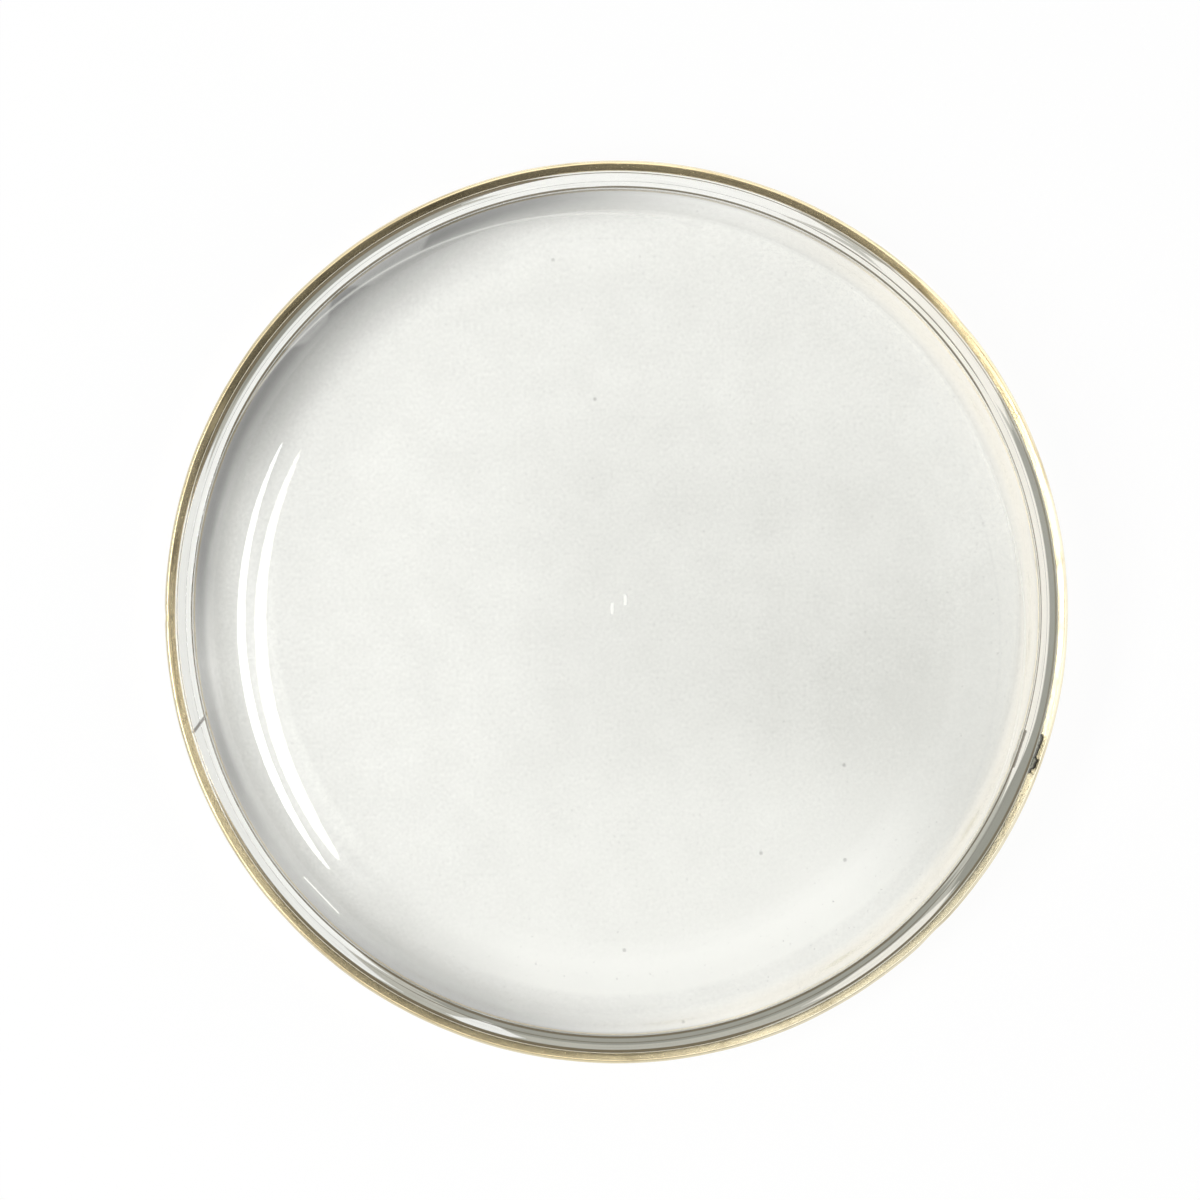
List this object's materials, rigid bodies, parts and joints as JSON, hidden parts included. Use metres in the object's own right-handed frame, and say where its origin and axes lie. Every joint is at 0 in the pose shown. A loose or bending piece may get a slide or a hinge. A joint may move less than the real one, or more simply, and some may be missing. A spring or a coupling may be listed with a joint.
{
  "type": "watch crystal",
  "caption": "Round clear watch crystal: a flat-topped dome with a rounded shoulder and a bevelled flange, snapped into a thin gold-plated rim ring that presses into a watch case.",
  "frame": {"origin": "centre of the ring's foot, on the axis, where the ring stands on a case's ledge", "axes": "+Z along the axis, out of the watch towards the viewer; +X and +Y are the picture's right and up"},
  "size_m": [0.032, 0.032, 0.0047],
  "materials": {
    "clear_pane": "polished and clear, with light wear",
    "gilt_ring": "gold-plated brass with a satin, slightly grainy top"
  },
  "bodies": {
    "root": {"crystal": "clear_pane", "rim_ring": "gilt_ring"}
  },
  "joints": []
}
